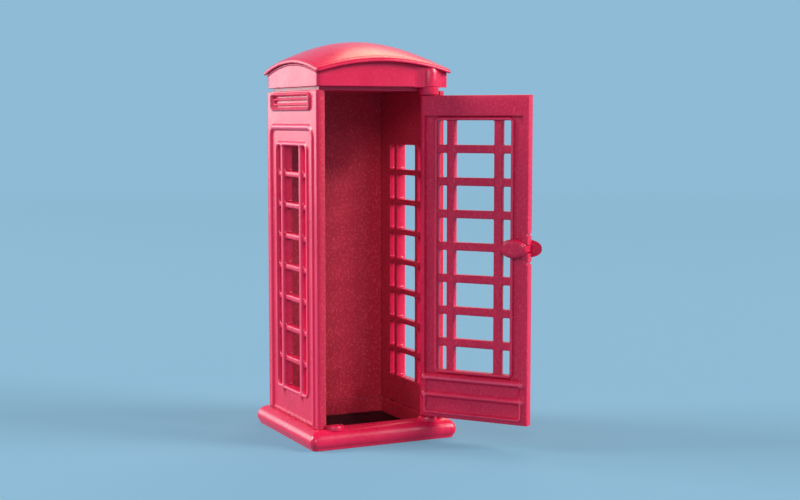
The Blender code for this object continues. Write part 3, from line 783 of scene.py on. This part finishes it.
def doorLeaf():
    # a plate whose panes, notch and nicks are left out, with y = -outside(u, z) and y = inside(u, z)
    shape = doorShape
    low, high = cadBoxOf("door")
    foot, top = low[2], high[2]
    free, middle = shape["tail"] - shape["width"], shape["tail"] - shape["width"] / 2
    z0 = handleShape["z"]
    panes = panesOf(shape, middle)
    nicks = [(free - 1, free + shape["nickDeep"], z0 + side * shape["nickAway"] - shape["nickTall"] / 2,
              z0 + side * shape["nickAway"] + shape["nickTall"] / 2, 0) for side in (-1, 1)]
    notch = (free - 1, free + shape["notch"], z0 - shape["notchTall"] / 2, z0 + shape["notchTall"] / 2, 0)
    uEdges, uDetails = paneMarks(shape, paneColumns(shape, middle))
    zEdges, zDetails = paneMarks(shape, paneRows(shape))
    uEdges += [free, shape["tail"], free + shape["notch"], free + shape["nickDeep"]]
    for hole in nicks + [notch]:
        zEdges += hole[2:4]
    zEdges += [foot, top]
    along = [*ridgeMarks(shape["frameAt"], shape["frameHalf"]), *ridgeMarks(shape["lipAt"], shape["lipHalf"]),
             shape["recessAt"] - 0.06, shape["recessAt"], shape["recessAt"] + 0.05,
             *ridgeMarks(shape["panelHalf"], shape["panelLine"]),
             *cornerMarks(shape["frameAt"], shape["frameRound"], 0.25, 0.08),
             *ridgeMarks((shape["wide"] + shape["upright"]) / 2, shape["upright"] / 2)]
    uDetails += [middle + side * value for side in (-1, 1) for value in along]
    uDetails += [free + 0.03, free + 0.06, free + shape["edge"]]
    uDetails += [shape["tail"] - shape["halfThick"] * share
                 for share in (0.02, 0.08, 0.17, 0.29, 0.44, 0.6, 0.8, 1)]
    frameLow = shape["windowLow"] - shape["frameMargin"]
    frameHigh = shape["windowHigh"] + shape["frameMargin"]
    for at in (frameLow, frameHigh):
        zDetails += [*ridgeMarks(at, shape["frameHalf"]), *cornerMarks(at, 0.5, 0.5, 0.08)]
    for at in shape["rails"]:
        zDetails += ridgeMarks(at, shape["railHalf"])
    zDetails += ridgeMarks(shape["panelLow"], shape["panelLine"])
    for at in (shape["recessLow"], shape["recessHigh"]):
        zDetails += [at - 0.05, at, at + 0.06]
    zDetails += [foot + 0.03, foot + shape["edge"], top - 0.03, top - shape["edge"]]
    uLines, zLines = gridLines(uEdges, uDetails, 0.45), gridLines(zEdges, zDetails, 0.5)

    def faces(u, z):
        across = u - middle
        gap = paneDistance(u, z, panes)
        rims = np.minimum(np.minimum(z - foot, top - z), u - free)
        around = quarterRound(gap, shape["paneEdge"]) + quarterRound(rims, shape["edge"])
        around += quarterRound(shape["tail"] - u, shape["halfThick"])
        frame = roundRectangle(across, z, shape["frameAt"], frameLow, frameHigh, shape["frameRound"])
        line = ridge(frame, shape["frameHalf"], shape["frameRidge"], softRidge)
        awayFromHandle = np.maximum(np.abs(z - z0), (u - free) / 2.7)
        line = line * smoothStep(awayFromHandle, 1.0, 1.15)
        outside = shape["halfThick"] + line - shape["fieldDrop"] * smoothStep(-frame, 0, 0.2) - around
        # the inside: a deep channel between the raised stiles and a thin lip round the glazing
        channel = roundRectangle(across, z, shape["recessAt"], shape["recessLow"], shape["recessHigh"],
                                 shape["recessRound"])
        lipLine = roundRectangle(across, z, shape["lipAt"], shape["windowLow"] - shape["lipMargin"],
                                 shape["windowHigh"] + shape["lipMargin"], shape["lipRound"])
        lip = ridge(lipLine, shape["lipHalf"], shape["lip"], 3)
        uprights = ridge(np.abs(across) - (shape["wide"] + shape["upright"]) / 2, shape["upright"] / 2,
                         shape["barRidge"], 3)
        bars = np.maximum(uprights * (lipLine < 0), lip)
        rails = [ridge(levelBar(across, z, at, -shape["recessAt"], shape["recessAt"]), shape["railHalf"],
                       shape["rail"], softRidge) for at in shape["rails"]]
        upperRail, lowerRail = shape["rails"]
        panel = roundRectangle(across, z, shape["panelHalf"], shape["panelLow"], lowerRail,
                               shape["panelRound"])
        rails.append(ridge(panel, shape["panelLine"], shape["rail"], softRidge))
        upper = roundRectangle(across, z, shape["panelHalf"], lowerRail, upperRail, shape["panelRound"])
        panelSunk = shape["panelDrop"] * smoothStep(-np.minimum(panel, upper), 0, 0.2)
        raised = np.maximum.reduce(rails)
        sunk = shape["recess"] * smoothStep(-channel, 0, 0.05)
        inside = shape["halfThick"] + raised + bars - sunk - panelSunk - around
        # raised lines on both faces get a painted highlight
        outsideHighlight = np.clip(line / shape["frameRidge"], 0, 1) ** 2
        insideHighlight = np.clip(np.maximum(raised / shape["rail"], bars / shape["lip"] * 0.8), 0, 1) ** 2
        return outside, inside, outsideHighlight, insideHighlight

    points, quads, paintedLight = plate(uLines, zLines, panes + nicks + [notch], faces)
    points = placed(points, openAngle, hingeX, hingeY)
    return putMesh("door_skin", points, quads, doorRed, paintedLight, tidy=False)


standsFor(doorLeaf(), "door", "door")


def paddleOutline(left, right, tall, blunt, steps=72):
    # a long round with x = a cos t and z = b sin t |sin t|^(blunt - 1)
    turn = np.linspace(0, 2 * math.pi, steps, endpoint=False)
    x = (left + right) / 2 + (right - left) / 2 * np.cos(turn)
    wave = np.sin(turn)
    return x, tall / 2 * np.sign(wave) * np.abs(wave) ** blunt


def pillow(x, z, near, far):
    # the outline shrinks towards its middle as the face swells from `near` to `far`
    middleX, middleZ = (x.min() + x.max()) / 2, (z.min() + z.max()) / 2
    rings = []
    for share in (1.0, 0.985, 0.94, 0.86, 0.74, 0.58, 0.4, 0.2, 0.04):
        level = near + (far - near) * math.sqrt(max(0, 1 - share ** 4))
        rings.append(np.column_stack([middleX + (x - middleX) * share, np.full(len(x), level),
                                      middleZ + (z - middleZ) * share]))
    rings.insert(0, rings[0].copy())
    backShare = 0.93
    rings[0][:, 0] = middleX + (x - middleX) * backShare
    rings[0][:, 2] = middleZ + (z - middleZ) * backShare
    return skin(rings)


def handlePieces():
    # a paddle on each side of the leaf, joined by a neck through the notch in its free edge
    shape, leaf = handleShape, doorShape
    free = leaf["tail"] - leaf["width"]
    left, right = free - shape["past"], free - shape["past"] + shape["long"]
    face = leaf["halfThick"] + shape["air"]
    outerX, outerZ = paddleOutline(left, right, shape["tall"], shape["outerBlunt"])
    innerX, innerZ = paddleOutline(free + shape["fromEdge"], right, shape["tall"], shape["innerBlunt"])
    outer = pillow(outerX, outerZ + shape["z"], -face, -face - shape["proud"])
    inner = pillow(innerX, innerZ + shape["z"], face, face + shape["proud"])
    half = leaf["notchTall"] / 2 - shape["neckGap"]
    neckLow = (free + shape["fromEdge"], -face - shape["bite"], shape["z"] - half)
    neckHigh = (free + leaf["notch"] - shape["neckGap"], face + shape["bite"], shape["z"] + half)
    return joined(outer, inner, roundedSlab(neckLow, neckHigh, shape["neckRound"], shape["neckEdge"]))


points, faces = handlePieces()
piece = putMesh("door_handle_skin", placed(points, openAngle, hingeX, hingeY), faces, doorRed)
standsFor(piece, "door_handle", "door")

# rods whose ends draw in: each pair is a share of the radius and the height above the end
ends = [(0.4, 0), (0.75, 0.02), (0.93, 0.07), (1, 0.16)]
for pinName in ("lower_hinge_pin", "upper_hinge_pin"):
    pinLow, pinHigh = cadBoxOf(pinName)
    pinRadius = (pinHigh[0] - pinLow[0]) / 2
    profile = [(pinRadius * share, pinLow[2] + rise) for share, rise in ends]
    profile += [(pinRadius * share, pinHigh[2] - rise) for share, rise in ends[::-1]]
    points, faces = turnedRound(profile, hingeX, hingeY, 48)
    standsFor(putMesh(pinName + "_skin", points, faces, pinRed), pinName, "door")
print("door ready")


# stage, lights and camera

stageSet = {
    "colour": (0.255, 0.462, 0.625, 1), "lit": 0.33, "glow": 0.46, "farGlow": 1.07, "near": 60, "far": 480,
    "cloudScale": 6, "cloud": 1.05, "turnAt": 1300, "turnRadius": 700, "high": 1500, "steps": 96,
}


def sweepFloor():
    # a round floor that turns up into a wall on a quarter circle, carried once round the upright axis
    shape = stageSet
    turn = np.linspace(0, math.pi / 2, 16)
    profile = [(1.0, 0.0)]
    profile += [(shape["turnAt"] + shape["turnRadius"] * math.sin(t), shape["turnRadius"] * (1 - math.cos(t)))
                for t in turn]
    profile += [(shape["turnAt"] + shape["turnRadius"], shape["high"])]
    steps = shape["steps"]
    around = np.linspace(0, 2 * math.pi, steps, endpoint=False)
    rings = [np.column_stack([r * np.cos(around), r * np.sin(around), np.full(steps, z)]) for r, z in profile]
    points, quads = skin(rings, caps=False)
    quads.append(list(range(steps)))
    return points, quads


def cardFinish():
    # card lit by the lamps near the middle, which fades by distance into card that only glows
    shape = stageSet
    material = bpy.data.materials.new("paleBlueCard")
    material.use_nodes = True
    links = material.node_tree.links
    shader = material.node_tree.nodes["Principled BSDF"]
    where = material.node_tree.nodes.new("ShaderNodeTexCoord").outputs["Object"]
    reach = addNode(material, "ShaderNodeVectorMath", operation="LENGTH")
    links.new(where, reach.inputs[0])
    away = addNode(material, "ShaderNodeMapRange", interpolation_type="SMOOTHSTEP")
    links.new(reach.outputs["Value"], away.inputs[0])
    away.inputs[1].default_value, away.inputs[2].default_value = shape["near"] * mm, shape["far"] * mm
    paint = [value * shape["lit"] for value in shape["colour"][:3]] + [1]
    paler = [value * shape["cloud"] for value in paint[:3]] + [1]
    cloud = mixColour(material, noiseOf(material, where, shape["cloudScale"], 2), paint, paler)
    links.new(mixColour(material, away.outputs[0], cloud, (0, 0, 0, 1)), shader.inputs["Base Color"])
    shader.inputs["Emission Color"].default_value = shape["colour"]
    glow = remap(material, away.outputs[0], 0, 1, shape["glow"], shape["farGlow"])
    links.new(glow, shader.inputs["Emission Strength"])
    shader.inputs["Roughness"].default_value = 0.9
    shader.inputs["Specular IOR Level"].default_value = 0.0
    return material


points, quads = sweepFloor()
putMesh("stage_floor", points, quads, cardFinish(), tidy=False)

lights = {
    "keyRight": {"at": (560, -430, 400), "size": 400, "power": 9.5, "colour": (1, 0.97, 0.95)},
    "frontFill": {"at": (-330, -600, 330), "size": 300, "power": 1.7, "colour": (1, 0.97, 0.97)},
    "leftHigh": {"at": (-520, 330, 400), "size": 340, "power": 6.5, "colour": (1, 0.96, 0.96)},
    "leftLow": {"at": (-420, 640, 60), "size": 520, "power": 2.4, "colour": (1, 0.97, 0.98)},
    "overhead": {"at": (250, 300, 450), "size": 300, "power": 1.2, "colour": (1, 0.74, 0.50)},
}
lightAim = (0, 0, 16)
for lightName, setting in lights.items():
    lamp = bpy.data.lights.new(lightName, "AREA")
    lamp.shape = "DISK"
    lamp.size = setting["size"] * mm
    lamp.energy = setting["power"]
    lamp.color = setting["colour"]
    holder = bpy.data.objects.new(lightName, lamp)
    bpy.context.scene.collection.objects.link(holder)
    holder.location = Vector(setting["at"]) * mm
    holder.rotation_euler = (Vector(lightAim) * mm - holder.location).to_track_quat("-Z", "Y").to_euler()

world = bpy.data.worlds.new("softRoom")
bpy.context.scene.world = world
world.use_nodes = True
world.node_tree.nodes["Background"].inputs["Color"].default_value = (0.72, 0.82, 0.92, 1)
world.node_tree.nodes["Background"].inputs["Strength"].default_value = 0.1
bpy.context.scene.view_settings.view_transform = "Standard"

cameraSet = {"at": (-50.5, -114.5, 27.6), "aim": (3.63, -1.83, 16.1), "lens": 64}
camera = bpy.data.objects.new("camera", bpy.data.cameras.new("camera"))
bpy.context.scene.collection.objects.link(camera)
camera.location = Vector(cameraSet["at"]) * mm
direction = (Vector(cameraSet["aim"]) - Vector(cameraSet["at"])) * mm
camera.rotation_euler = direction.to_track_quat("-Z", "Y").to_euler()
camera.data.lens = cameraSet["lens"]
camera.data.clip_start = 0.001
camera.data.clip_end = 10
bpy.context.scene.camera = camera
print("stage ready")
